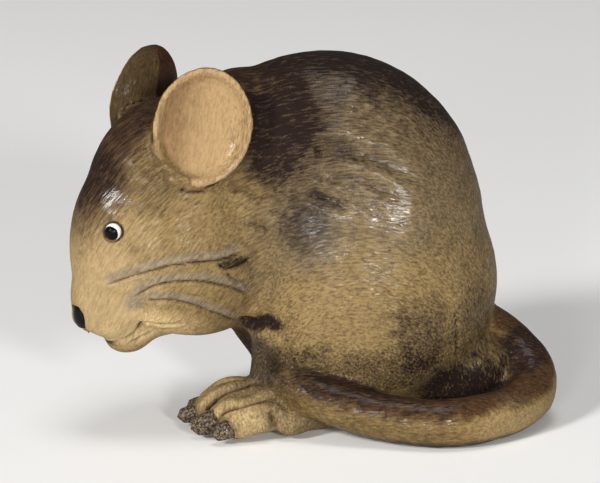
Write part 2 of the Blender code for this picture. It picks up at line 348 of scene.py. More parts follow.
def seamMask():
    # near the places where one part of the body meets the next
    a, b = surface.ends.T
    broad = np.isin(nearestPart, ("head", "neck", "trunk", "haunch"))
    meets = (nearestPart[a] != nearestPart[b]) & broad[a] & broad[b]
    mask = np.zeros(len(surface.points))
    mask[surface.ends[meets].ravel()] = 1
    return np.clip(ironing["seamGain"] * surface.spread(mask, ironing["seamWidth"]), 0, 1)


def ironBody():
    plain = region("head", "neck", "trunk", "haunch", blur=3)
    socket = np.ones(len(surface.points))
    for name in ("eye_left", "eye_right", "nose"):
        socket *= 1 - within(surface.points, middleOf(name) / mm, [ironing["socket"]] * 3)
    surface.iron(plain * socket, ironing["body"])
    surface.iron(seamMask() * plain * socket, ironing["seams"])
    surface.iron(tailTip, ironing["tailTip"])
    surface.store()


tailTip = within(surface.points, *tailSink, 0.7)
ironBody()
print("skin ironed")

earBowl = {
    "radii": (6.5, 7.8),  # mm inside the rim, across and up
    "depth": 2.1,
    "roundness": 0.7,  # below 1 the hollow is flat in the middle and steep at the rim
    "deeperBehind": 0.3,  # the hollow's share of extra depth towards its back
    "reach": 2.6,  # mm; skin this near the bowl is drawn onto it
    "forward": 0.1,  # by how far the surface faces backward, as is the next
    "backward": 0.2,
    "edge": (1.02, 0.78),  # shares of the radii, where the bowl starts and is full
    "backEdge": (1.3, 0.8),  # the same of the keel, and of the rim from both its sides
    "rim": ((0.72, 0.85), (1.3, 1.1)),
    "keel": 0.55,  # mm; a ridge up the back of the ear
    "keelWidth": 1.1,
    "keelPlace": -2.2,
    "keelLean": 0.1,
    "keelFoot": -6.0,
    "thickness": 2.4,
    "backReach": 2.1,
    "root": ((-4.6, 0.6, -5.0), (3.4, 3.0, 3.4)),  # where the rim dies into the cheek
    "rootLift": 0.35,
    "rounds": (30, 8),  # of ironing, at the root and along the rim
}


def earShare(local, radii):
    return np.hypot(local[:, 0] / radii[0], local[:, 2] / radii[1])


def beyondKeel(local):
    return local[:, 0] - earBowl["keelPlace"] - earBowl["keelLean"] * local[:, 2]


def shapeEar(side):
    # a clean bowl in front, a keel up the back, and a rim that dies into the cheek at the front
    local = inverted(earFrames[side], surface.points)
    backward = np.array(earFrames[side].to_3x3())[:, 1]
    facing = surface.normals @ backward
    share = earShare(local, earBowl["radii"])
    bowl = earBowl["depth"] * (1 - np.clip(share, 0, 1) ** 2) ** earBowl["roundness"]
    bowl *= 1 + earBowl["deeperBehind"] * local[:, 0] / earBowl["radii"][0]
    hollow = (np.abs(local[:, 1] - bowl) < earBowl["reach"]) & (facing < earBowl["forward"])
    inside = hollow * smoothStep(share, *earBowl["edge"])
    change = inside * (bowl - local[:, 1])
    back = np.abs(local[:, 1] - earBowl["thickness"]) < earBowl["backReach"]
    back &= (facing > earBowl["backward"]) & (local[:, 2] > earBowl["keelFoot"])
    keel = earBowl["keel"] * np.exp(-np.abs(beyondKeel(local)) / earBowl["keelWidth"])
    change += back * keel * smoothStep(share, *earBowl["backEdge"])
    surface.points += change[:, None] * backward
    root = within(local, *earBowl["root"], 0.6)
    surface.iron(root, earBowl["rounds"][0])
    starts, ends = earBowl["rim"]
    rim = smoothStep(share, *starts) * smoothStep(share, *ends)
    rim *= (np.abs(local[:, 1]) < earBowl["thickness"]) & (root == 0)
    surface.iron(rim, earBowl["rounds"][1])
    surface.points += (earBowl["rootLift"] * root * (share > 0.8))[:, None] * backward
    return inside


surface.earInside = sum(shapeEar(side) for side in earFrames)
surface.store()
print("ears shaped")

cloudTree = KDTree(len(surface.points))
for index, point in enumerate(surface.points):
    cloudTree.insert(point, index)
cloudTree.balance()
headPoints = inverted(headFrame, surface.points)

gouge = {
    "reach": 5.0,  # widths out to where a stroke's mark ends
    "lip": 1.9,  # widths out to the raised lip
    "line": 0.7,  # widths that the dark line takes
    "band": {"middle": 0.75, "width": 0.6, "depth": 0.12},  # mm; the washed hollow above a whisker
}


def curve(points, spacing=0.15, rounds=6):
    # a smooth curve through a few points, closely sampled, laid on the surface and evened out
    points = [Vector(point) for point in points]
    ends = [2 * points[0] - points[1], *points, 2 * points[-1] - points[-2]]
    path = []
    for a, b, c, d in zip(ends, ends[1:], ends[2:], ends[3:]):
        steps = max(2, round((c - b).length / spacing))
        for step in range(steps):
            t = step / steps
            bend = (2 * a - 5 * b + 4 * c - d) * t**2 + (3 * b - a - 3 * c + d) * t**3
            path.append((2 * b + (c - a) * t + bend) / 2)
    path.append(points[-1])
    smooth = np.array([cloudTree.find(place)[0] for place in path])
    for _ in range(rounds):
        smooth[1:-1] = (smooth[:-2] + 2 * smooth[1:-1] + smooth[2:]) / 4
    return smooth


def along(points, reach):
    # for the points near a curve: which, how far off it, on which side, and how far along it
    path = curve(points)
    low, high = path.min(0) - reach, path.max(0) + reach
    near = np.flatnonzero(((surface.points > low) & (surface.points < high)).all(1))
    offsets = surface.points[near, None] - path[None]
    lengths = np.linalg.norm(offsets, axis=2)
    nearest = lengths.argmin(1)
    rows = np.arange(len(near))
    across = np.cross(surface.normals[near], np.gradient(path, axis=0)[nearest])
    lean = np.sign((across * offsets[rows, nearest]).sum(1))
    return near, lengths[rows, nearest], lean, nearest / (len(path) - 1)


def stroke(points, width, depth, ridge=0.0, side=0.0, dark=1.0, fade=(0.15, 0.3), wash=0.0, hand=1):
    # one pull of the gouge: a groove with raised lips; side leans the lip to one side (-1 to 1),
    # and hand is -1 for the mirrored stroke
    near, away, lean, t = along(points, gouge["reach"] * width)
    lean = lean * hand
    strength = smoothStep(t, 0, fade[0]) * smoothStep(1 - t, 0, fade[1])
    groove = np.exp(-((away / width) ** 2))
    lip = np.exp(-((away / width - gouge["lip"]) ** 2)) * (1 + side * lean) / (1 + abs(side))
    surface.lift[near] += strength * (ridge * lip - depth * groove)
    # the dark line along a cut: stain gathered in it, and painted shade
    line = np.exp(-((away / (gouge["line"] * width)) ** 2))
    surface.groove[near] = np.maximum(surface.groove[near], dark * strength * line)
    band = np.exp(-(((away * lean - gouge["band"]["middle"]) / gouge["band"]["width"]) ** 2))
    band *= strength * wash
    surface.lift[near] -= gouge["band"]["depth"] * band
    surface.wash[near] = np.maximum(surface.wash[near], band)


def swelling(centre, radii, height, points):
    # a soft rise, or a dent where height is negative
    surface.lift += height * np.exp(-squaresOff(points, centre, radii))


def mirrored(point, middle=0.0):
    x, y, z = point
    return x, 2 * middle - y, z


def laid(points):
    return [headFrame @ Vector(point) for point in points]


def carveBothSides(lines, forms, points, middle=0.0, place=list):
    # the strokes and then the forms, as given on the left and mirrored on the right
    for line in lines.values():
        settings = {key: value for key, value in line.items() if key != "points"}
        stroke(place(line["points"]), **settings)
        stroke(place(mirrored(point, middle) for point in line["points"]), hand=-1, **settings)
    for centre, radii, height in forms.values():
        for where in (centre, mirrored(centre, middle)):
            swelling(where, radii, height, points)


whisker = {"depth": 0.34, "ridge": 0.12, "wash": 1.0}
# whisker lines, mouth and lips, in mm behind, right of and above the eyes
faceLines = {
    "upperWhisker": dict(
        points=[
            (-1.1, -4.6, -7.7), (3.0, -8.2, -5.8), (7.0, -10.7, -4.5), (13.3, -11.9, -4.2),
            (18.0, -12.0, -3.3),
        ],
        width=0.24, dark=0.75, fade=(0.08, 0.12), **whisker,
    ),
    "upperFork": dict(
        points=[(12.9, -11.9, -4.3), (14.2, -11.9, -5.6), (15.9, -11.9, -5.4), (18.7, -11.7, -4.1)],
        width=0.3, depth=0.32, ridge=0.14, dark=0.8, fade=(0.1, 0.2),
    ),
    "lowerFork": dict(
        points=[(14.3, -11.9, -5.9), (15.2, -11.8, -7.0), (16.6, -11.6, -7.8), (18.4, -11.2, -8.0)],
        width=0.28, depth=0.2, ridge=0.1, dark=0.6,
    ),
    "middleWhisker": dict(
        points=[
            (2.2, -6.6, -9.5), (5.0, -9.6, -7.4), (9.9, -11.4, -7.0), (15.1, -11.6, -8.4),
            (19.4, -10.5, -10.6),
        ],
        width=0.24, dark=0.75, fade=(0.08, 0.15), **whisker,
    ),
    "lowerWhisker": dict(
        points=[(3.2, -7.4, -9.6), (8.1, -10.3, -10.1), (13.0, -10.4, -12.1), (18.6, -8.3, -15.0)],
        width=0.26, dark=0.7, fade=(0.1, 0.12), **whisker,
    ),
    "shortWhisker": dict(
        points=[(8.3, -10.7, -8.9), (11.2, -11.2, -9.4), (14.3, -11.2, -10.9)],
        width=0.25, depth=0.14, ridge=0.08, dark=0.4,
    ),
    "mouth": dict(
        points=[
            (0.3, -0.3, -17.3), (0.5, -1.6, -17.3), (1.4, -3.0, -17.0), (2.8, -3.6, -16.5),
            (3.9, -4.0, -15.7), (4.4, -4.8, -14.4), (3.9, -5.9, -12.4),
        ],
        width=0.5, depth=0.8, ridge=0.3, side=0.3, fade=(0.12, 0.3),
    ),
    "lipSweep": dict(
        points=[(4.0, -5.2, -13.9), (5.4, -6.4, -14.0), (7.2, -7.6, -13.7), (9.8, -8.8, -13.2)],
        width=0.36, depth=0.22, ridge=0.14, dark=0.4, fade=(0.1, 0.4),
    ),
    "lowerLip": dict(
        points=[
            (3.2, -2.6, -17.0), (5.0, -3.3, -16.5), (6.6, -3.7, -15.9), (7.4, -5.4, -15.0),
            (7.9, -7.4, -14.0),
        ],
        width=0.36, depth=0.3, ridge=0.2, dark=0.6,
    ),
    "underNose": dict(
        points=[(-3.2, -0.3, -14.9), (-2.6, -0.8, -16.0), (-1.6, -1.6, -16.6)],
        width=0.3, depth=0.25, dark=0.9, fade=(0.1, 0.1),
    ),
    "underEar": dict(
        points=[(8.0, -9.4, 6.0), (9.6, -10.0, 5.6), (11.6, -10.6, 5.5), (13.8, -10.7, 5.9)],
        width=0.4, depth=0.25, dark=0.8,
    ),
}
# soft rises and hollows: centre, radii and height, given for the left side
faceForms = {
    "eyeHollow": ((0.2, -7.0, 0.1), (2.4, 1.8, 2.2), -0.3),
    "brow": ((0.8, -7.0, 2.4), (2.8, 2.0, 1.2), 0.3),
    "lowerLid": ((-0.2, -6.6, -2.4), (2.2, 2.0, 1.1), 0.16),
    "whiskerPad": ((0.8, -4.8, -13.0), (2.5, 2.6, 2.5), 0.85),
    "underLip": ((-1.2, -1.2, -16.4), (2.0, 2.4, 1.6), -0.85),
    "mouthNotch": ((1.1, -0.8, -17.5), (0.8, 1.5, 0.5), -0.35),
    "lipCorner": ((6.0, -7.0, -13.0), (2.0, 2.5, 1.6), 0.3),
    "temple": ((7.0, -8.5, 3.5), (3.5, 3.0, 3.0), -0.35),
    "jowl": ((13.0, -11.0, -9.5), (5.0, 3.0, 3.5), 0.3),
}


# folds of the shoulder and flank, in mm in the row frame
bodyLines = {
    "upperFold": dict(
        points=[
            (-0.65, -12.37, 41.3), (3.25, -12.07, 41.9), (7.35, -11.97, 40.6), (11.85, -11.37, 38.4),
            (15.2, -11.3, 35.6),
        ],
        width=1.25, depth=0.5, ridge=0.34, side=0.5, dark=0.5, fade=(0.08, 0.4),
    ),
    "middleFold": dict(
        points=[(0.75, -13.37, 37.6), (4.85, -13.07, 38.1), (9.25, -12.87, 36.2), (13.35, -12.57, 34.5)],
        width=1.0, depth=0.4, ridge=0.26, side=0.5, dark=0.45, fade=(0.1, 0.4),
    ),
    "shoulderPit": dict(
        points=[(-1.35, -13.57, 36.1), (0.45, -13.77, 35.4), (2.35, -13.87, 34.7), (4.65, -13.87, 33.3)],
        width=0.85, depth=0.8, ridge=0.45, side=0.3, dark=0.9,
    ),
    "lowFold": dict(
        points=[(2.25, -13.87, 35.9), (4.45, -13.87, 36.2), (7.45, -13.77, 34.4), (9.45, -13.77, 31.5)],
        width=0.8, depth=0.25, ridge=0.2, side=0.3, dark=0.3,
    ),
    "neckNick": dict(
        points=[(-9.95, -12.07, 31.6), (-8.85, -12.47, 31.2), (-7.35, -12.67, 30.5), (-6.45, -12.77, 29.6)],
        width=0.55, depth=0.5, ridge=0.35, dark=0.6,
    ),
    "neckFold": dict(
        points=[
            (-12.65, -11.37, 35.5), (-10.65, -11.87, 35.9), (-8.65, -12.27, 34.8), (-7.35, -12.57, 33.0),
        ],
        width=0.6, depth=0.25, ridge=0.2, dark=0.5,
    ),
    "neckCrease": dict(
        points=[(-7.15, -8.17, 46.0), (-6.45, -12.47, 37.5), (-6.75, -12.47, 26.0), (-7.65, -11.07, 16.2)],
        width=1.5, depth=0.3, ridge=0.15, dark=0.15, fade=(0.3, 0.1),
    ),
    "jawCrease": dict(
        points=[(-11.6, -9.4, 15.6), (-9.4, -10.3, 15.9), (-7.4, -11.3, 16.8), (-6.0, -12.0, 18.2)],
        width=0.9, depth=0.9, ridge=0.3, dark=0.9, fade=(0.3, 0.4),
    ),
    "dryingCheck": dict(
        points=[(19.35, -11.27, 19.0), (19.65, -9.57, 14.3), (19.85, -7.07, 9.0)],
        width=0.22, depth=0.2, dark=0.9,
    ),
}
bodyForms = {
    "shoulderBulge": ((3.6, -14.0, 32.4), (2.8, 3.0, 2.2), 0.6),
    "shoulderMass": ((0.0, -14.0, 29.0), (4.0, 3.5, 4.5), 0.4),
    "shoulderDip": ((-1.5, -14.0, 33.5), (2.4, 3.0, 2.4), -0.35),
    "flankBulge": ((11.5, -11.5, 41.0), (4.0, 4.0, 3.5), 0.4),
    "haunchBrow": ((13.6, -12.1, 34.0), (3.0, 4.0, 6.0), 0.5),
    "elbow": ((-3.2, -12.6, 25.0), (3.0, 3.0, 5.0), 0.35),
    "thigh": ((4.0, -14.6, 20.0), (5.0, 3.0, 6.0), 0.3),
}
handWork = {"broad": (5.0, 0.16), "fine": (1.5, 0.05)}  # size and height in mm
noiseStep = (17.3, 5.1, 9.7)  # how far apart the clouds of noise are taken
calmFace = ((-1, 0, -3), (5, 9, 14))  # mm in the head's frame; worked evenly, as the ears' hollows are


def cloudNoise(points, size, seed):
    shift = Vector([seed * step for step in noiseStep])
    return np.array([noise.noise(Vector(p) / size + shift) for p in points])


def roughen():
    # leaves the wood a little uneven, as a hand does
    calm = 1 - np.clip(surface.earInside + within(headPoints, *calmFace), 0, 1)
    for seed, (size, height) in enumerate(handWork.values(), 5):
        surface.lift += height * calm * cloudNoise(surface.points, size, seed)


# grooves between the left foot's toes and its tendons, in mm in the row frame
toeCut = {"width": 0.7, "depth": 0.75, "ridge": 0.35, "dark": 0.85, "fade": (0.05, 0.5)}
toeLines = {
    "inner": dict(points=[(-16.6, -5.2, 2.6), (-14.6, -5.4, 4.6), (-12.0, -5.6, 6.0), (-9.2, -6.0, 6.8)]),
    "middle": dict(
        points=[
            (-15.9, -9.7, 2.4), (-14.6, -9.3, 4.4), (-12.2, -9.2, 5.9), (-9.6, -8.4, 6.7),
            (-7.4, -7.8, 7.2),
        ]
    ),
    "outer": dict(
        points=[
            (-13.0, -13.5, 2.2), (-12.3, -13.6, 4.3), (-10.4, -14.0, 5.2), (-7.6, -13.0, 5.9),
            (-5.4, -11.8, 6.4),
        ]
    ),
    "last": dict(depth=0.35, dark=0.4, points=[(-6.4, -14.9, 4.8), (-5.9, -14.8, 3.2), (-5.7, -14.2, 0.8)]),
}


def carveToes():
    for line in toeLines.values():
        stroke(**{**toeCut, **line})


carveBothSides(faceLines, faceForms, headPoints, place=laid)
carveBothSides(bodyLines, bodyForms, surface.points, bodyMiddle)
roughen()
carveToes()
surface.settle()
print("carved")

stains = {
    "ochre": "7D6844",
    "tan": "9B8560",
    "pale": "9B815D",
    "olive": "43341E",
    "grey": "544A3A",
    "drab": "62543F",
    "ash": "7A7062",
    "russet": "5A371E",
    "honey": "79633A",
    "butter": "C6AD80",
    "ruddy": "785334",
}
firstCoat = ("ochre", 0.07)  # the stain all over, and its dusk: the dark left between the strokes
ragged = ((5.0, 1.0), (1.6, 0.5), (0.7, 0.35))  # size in mm and share of what makes edges ragged
spotEdge = (0.5, 1.15)  # shares of a patch's radii, where it is full and ends
# how a shade runs in: its full share, where it starts and is full, and how ragged its edge is, in mm
# in the row, head or ear frame where no note says otherwise
shades = {
    "flank": (0.8, 20, 36, 3.0),
    "back": (0.17, 22, 42, 3.5),
    "rump": (0.2, 14, 24, 2.5),
    "spine": (1.0, 12, 4, 2.5),
    "overBack": (0.85, 12, 30, 0.0),
    "upward": (0.75, 0.6, 0.97, 0.2),  # by how far the surface faces up
    "forehead": (0.42, 2, 13, 2.0),
    "crown": (1.0, 7.4, 2.4, 1.6),
    "aboveEyes": (1.0, -6, 6, 1.0),
    "crownWorn": (0.25, 8, 12, 0.0),  # taken off the crown's dusk
    "headBack": (0.22, 10, 20, 2.0),
    "earLip": (0.75, 1.08, 0.98, 0.0),  # by shares of the hollow's radii
    "earBack": (1.0, -0.6, -0.3, 0.1),  # by how far the surface faces backward
    "earOutside": (1.0, 1.25, 1.1, 0.0),  # by shares of the ear's radii
    "earRim": (1.0, 3.0, 4.6, 0.0),
    "earRimLow": (1.0, 6, 1, 0.0),
    "earShaded": (1.0, -0.5, 4.5, 0.8),
    "earEdge": (0.1, 3.5, 6, 0.0),
    "beyondKeel": (1.0, 0, 0.3, 0.1),
    "heel": (0.35, -8, -5, 1.5),
    "tailFront": (0.33, 25, 16, 0.0),
    "tailTop": (1.0, 0.1, 0.6, 0.3),  # by how far the surface faces up
    "tailUnderShade": (0.7, 1.6, 0.3, 0.4),
    "groove": (0.85, 0.1, 0.9, 0.0),  # by the depth of a cut's dark line
    "toeGroove": (0.7, 0.05, 0.4, 0.0),
}
slants = {"spine": 0.9, "crown": 0.12}  # how far these two move for each mm towards the tail
# what soaks in over a whole part, and painted shade over a few: the share of each stain, and of dusk
mixes = {
    "forelegTop": {"dusk": 0.5},
    "foreleg": {"dusk": 0.45},
    "crown": {"russet": 0.6},
    "earShaded": {"ruddy": 0.45, "dusk": 0.19},
    "earShadeBeyondKeel": {"russet": 1.0, "dusk": 0.45},
    "feet": {"tan": 0.7, "dusk": 0.05},
    "claws": {"dusk": 0.6},
    "tailTip": {"dusk": 0.4},
    "tail": {"honey": 0.92},
    "tailTop": {"russet": 0.7, "dusk": 0.5},
    "wash": {"ash": 0.75},
}
crownDusk = 0.82
tipFade = 0.8  # share of the tail's stain left off where its tip sinks in
# patches rubbed in by hand, and patches of painted shade and of painted light: centre and radii in mm, a
# mix whose dusk is wiped off where below 0, and for some how ragged the edge is
napePatch = {"nape": ((-1, -12, 44), (8, 9, 8), {"dusk": 0.3})}
bodyPatches = {
    "rumpWiped": ((19.5, -8, 36), (5.5, 9, 14), {"dusk": -0.5}),
    "rumpLow": ((22.5, -6, 15), (4, 8, 9), {"dusk": 0.42}),
    "shoulder": ((-1.5, -14, 30.0), (5.5, 6, 6.5), {"grey": 0.7}),
    "shoulderDark": ((-1.8, -14, 31.5), (4.5, 6, 5.0), {"dusk": 0.52}),
    "upperArm": ((-7, -12, 27), (4, 6, 10), {"drab": 0.4}),
    "thigh": ((15.0, -14, 14.5), (5.5, 9, 7.5), {"dusk": 0.58}, 0.35),
    "haunchFoot": ((6.5, -13, 9.5), (14, 9, 5.0), {"dusk": 0.5}, 0.35),
    "leftNeck": ((-5.2, -9.5, 43.5), (7.0, 8, 10.0), {"dusk": 0.86}),
    "rightNeck": ((-5.2, 12.4, 43.5), (7.0, 8, 10.0), {"dusk": 0.86}),
    # painted shade in the gap under and behind the jaw
    "underJawShade": ((-9.2, -9.3, 15.9), (2.3, 6, 1.3), {"dusk": 0.8}, 0.08),
    "behindJawShade": ((-6.7, -11.6, 16.7), (2.5, 4, 1.5), {"dusk": 0.95}, 0.08),
    # reddish stain on the chest, darkened as painted shade under the head
    "chest": ((-10.8, -1.0, 11.5), (3.2, 7, 5.0), {"russet": 0.8, "dusk": 0.4}),
    "elbowTip": ((-6.4, -11.7, 14.3), (2.4, 4, 1.7), {"honey": 0.8, "tan": 0.35, "dusk": -0.7}),
    # the foreleg greyer and darker: partly its stain, partly painted shade under the head
    "foreleg": ((-7.8, -9, 10.2), (4.6, 8, 4.8), {"grey": 0.8}),
    "forelegDark": ((-7.8, -9, 10.2), (4.4, 8, 4.4), {"dusk": 0.1}),
}
# mm; where painted shade under the jaw and neck lies
forelegTop = ((-6.5, -9, 8), (6, 9, 12))
facePatch = {"face": ((-2, 0, -8), (13, 14, 15), {"tan": 1.0})}
headPatches = {
    # painted light: the jaw paler, as if lit from the floor below
    "jaw": ((6.5, -5, -14.5), (8, 8, 4), {"butter": 0.55}),
    "crownWiped": ((12, 0, 12), (6, 6, 5), {"dusk": -0.35}),
    "underEar": ((5.0, -9.5, 6.0), (4.5, 6, 4.0), {"dusk": 0.25}, 0.4),
    # painted shade in the mouth's opening
    "mouth": ((1.0, 0, -17.5), (1.2, 2.4, 0.6), {"dusk": 0.8}, 0.05),
}
footPatches = {
    "outerToes": ((-11.5, -14.0, 2.8), (6.5, 7, 2.8), {"butter": 0.28}),
    "instep": ((-11, -9, 6.6), (4.5, 6, 2.2), {"dusk": 0.35}),
}
# painted shade in the gap between the tail and the rump: under the haunch and on the tail's inner side
tailGapShade = {
    "behind": ((30.3, -2.0, 9.8), (4.5, 7, 4.2), {"dusk": 0.75}),
    "underHaunchShade": ((20.5, -5.0, 6.0), (9.0, 9.0, 5.0), {"dusk": 0.95}),
}
tailWorn = {"outside": ((28, -14, 3.0), (8, 8, 3.4), {"butter": 0.2})}
whiskerPatches = {
    "root": ((2.6, -7.0, -9.9), (1.5, 2.5, 1.7), {"ash": 0.7}, 0.1),
    # painted shade in the hollow between the forked whisker lines
    "forkShade": ((15.6, -12, -4.8), (2.8, 3, 1.0), {"dusk": 0.7}, 0.05),
}
earStain = {"radii": (7.2, 8.6), "lipDepth": 2.0, "frontDusk": 0.03, "backDusk": 0.2}
cheekEdge = ((-4.6, 0.6, -5.6), (3.2, 3.0, 3.2))  # mm in the ear's frame; where the cheek's stain runs on
toes = ((-11, -12, 3.4), (8, 8, 5))
clawRadii = (2.7, 2.7, 2.3)


class Stain:
    # the colour at each point of the skin, and its dusk
    def __init__(self):
        layers = enumerate(ragged, 1)
        self.drift = sum(share * cloudNoise(surface.points, size, seed) for seed, (size, share) in layers)
        self.colour = np.tile(toLinear(stains[firstCoat[0]]), (len(surface.points), 1))
        self.dusk = np.full(len(surface.points), firstCoat[1])

    def lay(self, name, mask):
        share = np.clip(mask, 0, 1)[:, None]
        self.colour = self.colour * (1 - share) + np.array(toLinear(stains[name])) * share

    def darken(self, mask):
        self.dusk = 1 - (1 - self.dusk) * (1 - np.clip(mask, 0, 1))

    def level(self, mask, dusk):
        self.dusk = self.dusk * (1 - mask) + dusk * mask

    def shade(self, name, values):
        share, low, high, wander = shades[name]
        return share * smoothStep(values + wander * self.drift, low, high)

    def spot(self, centre, radii, edge=0.22, where=None):
        # 1 inside an ellipsoid with a ragged edge
        points = surface.points if where is None else where
        away = np.sqrt(squaresOff(points, centre, radii))
        return 1 - smoothStep(away + edge * self.drift, *spotEdge)

    def soak(self, mix, mask):
        for name, share in mix.items():
            if name != "dusk":
                self.lay(name, share * mask)
            elif share > 0:
                self.darken(share * mask)
            else:
                self.dusk *= 1 + share * mask

    def rub(self, patches, mask=1.0, where=None):
        for centre, radii, mix, *edge in patches.values():
            self.soak(mix, self.spot(centre, radii, *edge, where=where) * mask)


def stainBody(stain):
    x, y, z = surface.points.T
    body = region("trunk", "neck", "haunch", blur=14)
    spine = stain.shade("spine", np.abs(y - bodyMiddle))
    spine *= stain.shade("overBack", z - slants["spine"] * x)
    upward = stain.shade("upward", surface.normals[:, 2])
    stain.lay("drab", body * stain.shade("flank", z))
    for mask in (stain.shade("back", z), stain.shade("rump", x), spine, upward):
        stain.darken(body * mask)
    stain.rub(napePatch, mask=body)
    # painted shade under the jaw and neck, over the chest and the top of the foreleg
    stain.soak(mixes["forelegTop"], body * within(surface.points, *forelegTop))
    # the foreleg darker: partly its stain, partly painted shade under the head
    stain.soak(mixes["foreleg"], region("foreleg", blur=6))
    stain.rub(bodyPatches)


def stainHead(stain):
    # a pale face and a dark crown
    behind, right, up = headPoints.T
    head = region("head", blur=10)
    stain.rub(facePatch, mask=head, where=headPoints)
    stain.darken(head * stain.shade("forehead", up))
    stain.rub(headPatches, where=headPoints)
    crown = head * stain.shade("crown", np.abs(right) - slants["crown"] * behind)
    crown *= stain.shade("aboveEyes", up)
    stain.soak(mixes["crown"], crown)
    stain.darken(crown * (crownDusk - stain.shade("crownWorn", up)))
    stain.darken(head * stain.shade("headBack", behind))


def stainEar(stain, side):
    # pale in the hollow and dark behind; gives the part of the rim that is glossy
    local = inverted(earFrames[side], surface.points)
    backward = surface.normals @ np.array(earFrames[side].to_3x3())[:, 1]
    sided = headPoints[:, 1] * side > 0
    ear = np.maximum(region("ear", blur=1), surface.earInside) * sided
    inside = surface.earInside * sided
    lip = stain.shade("earLip", earShare(local, earBowl["radii"]))
    lip *= local[:, 1] < earStain["lipDepth"]
    behind = stain.shade("earBack", backward - lip) * (1 - inside)
    front = ear * (1 - behind) * stain.shade("earOutside", earShare(local, earStain["radii"]))
    front *= 1 - (1 - inside) * within(local, *cheekEdge, 0.6)
    stain.lay("pale", front)
    stain.level(front, earStain["frontDusk"])
    # painted shade: the hollow darker and redder towards its front, the side turned from the light
    stain.soak(mixes["earShaded"], stain.shade("earShaded", -local[:, 0]) * inside)
    stain.darken(front * stain.shade("earEdge", local[:, 0]))
    back = ear * behind
    stain.lay("olive", back)
    stain.level(back, earStain["backDusk"])
    # painted shade: the back of the ear beyond its keel, the side turned from the light, darker and redder
    stain.soak(mixes["earShadeBeyondKeel"], back * stain.shade("beyondKeel", beyondKeel(local)))
    return front * stain.shade("earRim", local[:, 0]) * stain.shade("earRimLow", local[:, 2])


def stainFeet(stain, feet):
    stain.soak(mixes["feet"], feet)
    stain.rub(footPatches, mask=feet)
    stain.darken(feet * stain.shade("heel", surface.points[:, 0]))


def stainTail(stain):
    tail = region("tail", blur=3) * (1 - tipFade * tailTip)
    stain.soak(mixes["tailTip"], tailTip)
    stain.soak(mixes["tail"], tail)
    stain.darken(tail * stain.shade("tailFront", surface.points[:, 0]))
    stain.soak(mixes["tailTop"], tail * stain.shade("tailTop", surface.normals[:, 2]))
    # painted shade in the gap between the tail and the rump
    stain.rub(tailGapShade)
    stain.rub(tailWorn, mask=tail)
    # painted shade along the tail's lowest edge, where it meets the floor
    stain.darken(tail * stain.shade("tailUnderShade", surface.points[:, 2]))


def stainLines(stain, feet):
    # the grey washes by the whiskers, and the cuts darkened: stain that gathers in them, and painted shade
    stain.soak(mixes["wash"], surface.wash)
    stain.rub(whiskerPatches, where=headPoints)
    stain.darken(stain.shade("groove", surface.groove))
    stain.lay("russet", stain.spot(*toes) * feet * stain.shade("toeGroove", surface.groove))
    for name in frame["nodes"]:
        if name.startswith("claw"):
            stain.soak(mixes["claws"], feet * stain.spot(middleOf(name) / mm, clawRadii))


# how much the strokes stand out all over, and more or less by place
strokeMarks = {"all": 0.75, "body": 0.25, "earHollow": -0.4, "face": -0.35}
face = ((-2, 0, -9), (9, 12, 12))
lacquer = {"all": 0.07, "body": 0.14, "tail": 0.2, "earRim": 0.35}
foreheadLacquer = ((0.5, -4.5, 6.0), (4, 5, 4), 0.25)
# where the lacquer lies thicker or thinner: centre and radii in mm, and its share
lacquerPatches = {
    "haunch": ((12, -13, 33), (5.5, 6, 7), 0.42),
    "shoulder": ((1.5, -14, 30.5), (4.5, 5, 5), 0.5),
    "back": ((6, -8, 47), (9, 10, 5), 0.25),
    "neck": ((-5.2, -9.5, 43.5), (7.5, 9, 10.5), -0.4),
    "foreleg": ((-3, -13, 8), (5, 5, 5), -0.15),
    "chest": (*bodyPatches["chest"][:2], -1.0),
}


def strokeDepth(stain, hollow):
    rough = strokeMarks["all"] + strokeMarks["body"] * region("trunk", "neck", "haunch")
    rough += strokeMarks["earHollow"] * hollow
    return rough + strokeMarks["face"] * stain.spot(*face, where=headPoints)


def lacquerCoat(stain, hollow, rim):
    gloss = lacquer["all"] + lacquer["body"] * region("trunk", "haunch", blur=6)
    gloss += lacquer["tail"] * region("tail", blur=3) + lacquer["earRim"] * rim - hollow
    *spot, share = foreheadLacquer
    gloss += share * stain.spot(*spot, where=headPoints)
    for *spot, share in lacquerPatches.values():
        gloss += share * stain.spot(*spot)
    return gloss


flowLook = {
    "middle": (6.0, 4.0),  # mm; where the body's strokes run round
    "turn": 25.0,  # mm to a radian
    "earShare": 0.3,  # from here on the hollow's strokes run with the ear
}


def strokeFlow():
    # the way the strokes run, in mm: two across them and one along them
    x, y, z = surface.points.T
    behind, over = x - flowLook["middle"][0], z - flowLook["middle"][1]
    flow = np.c_[np.hypot(behind, over), y, np.arctan2(behind, over) * flowLook["turn"]]
    tail = nearestPart == "tail"
    flow[tail] = surface.points[tail][:, [2, 1, 0]]
    for side, earFrame in earFrames.items():
        ear = (nearestPart == "ear") | (surface.earInside > flowLook["earShare"])
        ear &= headPoints[:, 1] * side > 0
        flow[ear] = inverted(earFrame, surface.points[ear])
    return flow


def stainSkin():
    stain = Stain()
    feet = region("hind", blur=2)
    stainBody(stain)
    stainHead(stain)
    rim = sum(stainEar(stain, side) for side in earFrames)
    stainFeet(stain, feet)
    stainTail(stain)
    stainLines(stain, feet)
    attribute = skin.data.color_attributes.new("stain", "FLOAT_COLOR", "POINT")
    attribute.data.foreach_set("color", stain.colour.ravel())
    hollow = surface.earInside * (1 - rim)
    depth, coat = strokeDepth(stain, hollow), lacquerCoat(stain, hollow, rim)
    for name, values in {"dusk": stain.dusk, "rough": depth, "gloss": coat}.items():
        attribute = skin.data.attributes.new(name, "FLOAT", "POINT")
        attribute.data.foreach_set("value", np.clip(values, 0, 1))
    attribute = skin.data.attributes.new("flow", "FLOAT_VECTOR", "POINT")
    attribute.data.foreach_set("vector", strokeFlow().ravel())


stainSkin()
print("stained")

